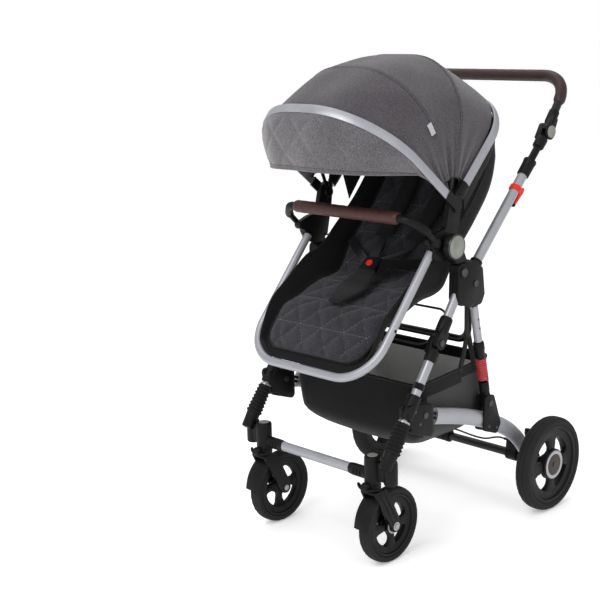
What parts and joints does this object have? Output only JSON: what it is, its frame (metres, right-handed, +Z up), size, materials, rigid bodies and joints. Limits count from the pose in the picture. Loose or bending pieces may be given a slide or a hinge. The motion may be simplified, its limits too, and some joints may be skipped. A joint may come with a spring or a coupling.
{
  "type": "convertible pram",
  "caption": "Folding pram with swivel front wheels, sprung rear legs, telescopic handle, reclining seat, bumper bar, folding canopy and basket.",
  "frame": {"origin": "on the floor, at the middle of the footprint box of the whole pram", "axes": "+Z up, the front of the pram and the child face -Y, the handle is at +Y, +X is the right side of a view from the front"},
  "size_m": [0.6016, 0.7613, 1.1693],
  "materials": {
    "satin_aluminium": "satin silver-grey anodised tube",
    "black_plastic": "fine matt black moulding",
    "black_steel": "black powder coat",
    "steel": "satin steel",
    "red_plastic": "bright red moulding",
    "red_spring": "red coated spring wire",
    "grey_plastic": "warm mid grey moulding",
    "tyre_rubber": "near black, fine tread",
    "dark_leather": "very dark brown grained wrap",
    "brown_leather": "reddish brown grained wrap",
    "melange_fabric": "dark warm grey melange weave",
    "black_fabric": "plain black weave",
    "quilted_fabric": "purple grey quilted melange",
    "mesh_fabric": "fabric and open mesh"
  },
  "bodies": {
    "front_legs": {"front_leg_right": "satin_aluminium", "front_leg_left": "satin_aluminium", "front_bracket_right": "black_plastic", "front_bracket_left": "black_plastic", "basket": "mesh_fabric"},
    "caster_carriage": {"caster_carriage": "black_plastic"},
    "swivel_lock_right": {"swivel_lock_right": "grey_plastic"},
    "front_fork_right": {"front_fork_right": "black_plastic"},
    "front_wheel_right": {"front_rim_right": "black_plastic", "front_tyre_right": "tyre_rubber"},
    "swivel_lock_left": {"swivel_lock_left": "grey_plastic"},
    "front_fork_left": {"front_fork_left": "black_plastic"},
    "front_wheel_left": {"front_rim_left": "black_plastic", "front_tyre_left": "tyre_rubber"},
    "upper_frame": {"handle_upright_right": "satin_aluminium", "handle_upright_left": "satin_aluminium", "upper_joint_right": "black_plastic", "upper_joint_left": "black_plastic", "seat_crossbar": "black_steel"},
    "release_button_right": {"release_button_right": "steel"},
    "fold_lever_right": {"fold_lever_right": "red_plastic"},
    "release_button_left": {"release_button_left": "steel"},
    "fold_lever_left": {"fold_lever_left": "red_plastic"},
    "rear_legs": {"rear_leg_right": "satin_aluminium", "rear_leg_left": "satin_aluminium", "shock_spring_right": "red_spring", "shock_spring_left": "red_spring"},
    "shock_lower": {"shock_lower_right": "black_plastic", "shock_lower_left": "black_plastic"},
    "side_rails": {"side_rail_right": "satin_aluminium", "side_rail_left": "satin_aluminium", "rear_axle": "black_steel", "brake_cable": "black_plastic"},
    "brake_pedal": {"brake_pedal": "black_plastic"},
    "rear_wheel_right": {"rear_rim_right": "black_plastic", "rear_tyre_right": "tyre_rubber"},
    "rear_wheel_left": {"rear_rim_left": "black_plastic", "rear_tyre_left": "tyre_rubber"},
    "handle_slides": {"handle_slide_right": "black_plastic", "handle_slide_left": "black_plastic"},
    "handle_bar": {"handle_bar": "black_steel", "handle_grip": "dark_leather"},
    "knuckle_button_right": {"knuckle_button_right": "grey_plastic"},
    "knuckle_button_left": {"knuckle_button_left": "grey_plastic"},
    "seat_hubs": {"seat_hub_right": "black_plastic", "seat_hub_left": "black_plastic"},
    "seat_frame": {"lower_frame": "satin_aluminium", "back_bow": "satin_aluminium", "seat_shell": "black_fabric", "seat_pad": "quilted_fabric", "harness": "black_fabric", "canopy_rear": "melange_fabric"},
    "buckle_button": {"buckle_button": "red_plastic"},
    "bumper": {"bumper_bar": "brown_leather"},
    "canopy_rib_b": {"canopy_rib_b": "black_steel"},
    "canopy_rib_a": {"canopy_rib_a": "black_steel", "canopy_mid": "melange_fabric"},
    "canopy_bow": {"canopy_bow": "satin_aluminium", "canopy_front": "melange_fabric", "visor": "melange_fabric"}
  },
  "joints": [
    {"name": "front_suspension", "type": "slide", "parent": "front_legs", "child": "caster_carriage", "axis": [0, 0.5838, 0.8119], "range_m": [0, 0.01], "stiffness_N_per_m": 12000, "springref_m": -0.012},
    {"name": "swivel_right", "type": "hinge", "parent": "caster_carriage", "child": "front_fork_right", "pos_m": [0.181, -0.33256, 0.195], "axis": [0, 0, 1], "continuous": true},
    {"name": "front_wheel_right", "type": "hinge", "parent": "front_fork_right", "child": "front_wheel_right", "pos_m": [0.1838, -0.28156, 0.0913], "axis": [1, 0, 0], "continuous": true},
    {"name": "swivel_lock_right", "type": "hinge", "parent": "caster_carriage", "child": "swivel_lock_right", "pos_m": [0.181, -0.35356, 0.2135], "axis": [-1, 0, 0], "range_deg": [0, 20]},
    {"name": "swivel_left", "type": "hinge", "parent": "caster_carriage", "child": "front_fork_left", "pos_m": [-0.181, -0.33256, 0.195], "axis": [0, 0, 1], "continuous": true},
    {"name": "front_wheel_left", "type": "hinge", "parent": "front_fork_left", "child": "front_wheel_left", "pos_m": [-0.1838, -0.28156, 0.0913], "axis": [1, 0, 0], "continuous": true},
    {"name": "swivel_lock_left", "type": "hinge", "parent": "caster_carriage", "child": "swivel_lock_left", "pos_m": [-0.181, -0.35356, 0.2135], "axis": [-1, 0, 0], "range_deg": [0, 20]},
    {"name": "knee_fold", "type": "hinge", "parent": "front_legs", "child": "upper_frame", "pos_m": [0, -0.15805, 0.51416], "axis": [1, 0, 0], "range_deg": [0, 25]},
    {"name": "rear_leg_fold", "type": "hinge", "parent": "upper_frame", "child": "rear_legs", "pos_m": [0, -0.03256, 0.635], "axis": [1, 0, 0], "range_deg": [-14, 0]},
    {"name": "shock_slide", "type": "slide", "parent": "rear_legs", "child": "shock_lower", "axis": [0, -0.207, 0.9783], "range_m": [0, 0.008], "stiffness_N_per_m": 15000, "springref_m": -0.012, "deforming": ["shock_spring_right", "shock_spring_left"]},
    {"name": "rail_swing", "type": "hinge", "parent": "shock_lower", "child": "side_rails", "pos_m": [0, 0.03344, 0.323], "axis": [1, 0, 0], "range_deg": [0, 2]},
    {"name": "rear_wheel_right", "type": "hinge", "parent": "side_rails", "child": "rear_wheel_right", "pos_m": [0.28, 0.23244, 0.122], "axis": [1, 0, 0], "continuous": true},
    {"name": "rear_wheel_left", "type": "hinge", "parent": "side_rails", "child": "rear_wheel_left", "pos_m": [-0.28, 0.23244, 0.122], "axis": [1, 0, 0], "continuous": true},
    {"name": "brake_pedal", "type": "hinge", "parent": "side_rails", "child": "brake_pedal", "pos_m": [0, 0.23244, 0.122], "axis": [-1, 0, 0], "range_deg": [0, 20]},
    {"name": "release_button_right", "type": "slide", "parent": "upper_frame", "child": "release_button_right", "axis": [-1, 0, 0], "range_m": [0, 0.003], "stiffness_N_per_m": 800, "springref_m": -0.003},
    {"name": "fold_lever_right", "type": "slide", "parent": "upper_frame", "child": "fold_lever_right", "axis": [0, 0.7014, 0.7128], "range_m": [0, 0.01], "stiffness_N_per_m": 600, "springref_m": -0.008},
    {"name": "release_button_left", "type": "slide", "parent": "upper_frame", "child": "release_button_left", "axis": [1, 0, 0], "range_m": [0, 0.003], "stiffness_N_per_m": 800, "springref_m": -0.003},
    {"name": "fold_lever_left", "type": "slide", "parent": "upper_frame", "child": "fold_lever_left", "axis": [0, 0.7014, 0.7128], "range_m": [0, 0.01], "stiffness_N_per_m": 600, "springref_m": -0.008},
    {"name": "handle_telescope", "type": "slide", "parent": "upper_frame", "child": "handle_slides", "axis": [0, 0.7014, 0.7128], "range_m": [0, 0.08]},
    {"name": "handle_tilt", "type": "hinge", "parent": "handle_slides", "child": "handle_bar", "pos_m": [0, 0.26844, 0.966], "axis": [1, 0, 0], "range_deg": [-30, 45]},
    {"name": "knuckle_button_right", "type": "slide", "parent": "handle_bar", "child": "knuckle_button_right", "axis": [-1, 0, 0], "range_m": [0, 0.003], "stiffness_N_per_m": 800, "springref_m": -0.003},
    {"name": "knuckle_button_left", "type": "slide", "parent": "handle_bar", "child": "knuckle_button_left", "axis": [1, 0, 0], "range_m": [0, 0.003], "stiffness_N_per_m": 800, "springref_m": -0.003},
    {"name": "seat_lift", "type": "slide", "parent": "upper_frame", "child": "seat_hubs", "axis": [0, 0, 1], "range_m": [0, 0.045]},
    {"name": "seat_recline", "type": "hinge", "parent": "seat_hubs", "child": "seat_frame", "pos_m": [0, -0.10056, 0.731], "axis": [-1, 0, 0], "range_deg": [-10, 25]},
    {"name": "buckle_button", "type": "slide", "parent": "seat_frame", "child": "buckle_button", "axis": [0, 0.6, -0.8], "range_m": [0, 0.0025], "stiffness_N_per_m": 800, "springref_m": -0.002},
    {"name": "bumper_swing", "type": "hinge", "parent": "seat_frame", "child": "bumper", "pos_m": [0, -0.15256, 0.745], "axis": [1, 0, 0], "range_deg": [0, 45]},
    {"name": "canopy_rib_b_fold", "type": "hinge", "parent": "seat_frame", "child": "canopy_rib_b", "pos_m": [0, -0.06756, 0.82], "axis": [-1, 0, 0], "range_deg": [0, 20], "deforming": ["canopy_rear"]},
    {"name": "canopy_rib_a_fold", "type": "hinge", "parent": "canopy_rib_b", "child": "canopy_rib_a", "pos_m": [0, -0.06756, 0.82], "axis": [-1, 0, 0], "range_deg": [0, 20], "deforming": ["canopy_mid"]},
    {"name": "canopy_bow_fold", "type": "hinge", "parent": "canopy_rib_a", "child": "canopy_bow", "pos_m": [0, -0.06756, 0.82], "axis": [-1, 0, 0], "range_deg": [0, 20], "deforming": ["canopy_front"]}
  ],
  "couplings": [
    {"joint": "rear_leg_fold", "follows": "knee_fold", "ratio": -0.54},
    {"joint": "rail_swing", "follows": "shock_slide", "rad_per_m": 3.94},
    {"joint": "canopy_rib_a_fold", "follows": "canopy_rib_b_fold", "ratio": 1},
    {"joint": "canopy_bow_fold", "follows": "canopy_rib_b_fold", "ratio": 1}
  ]
}
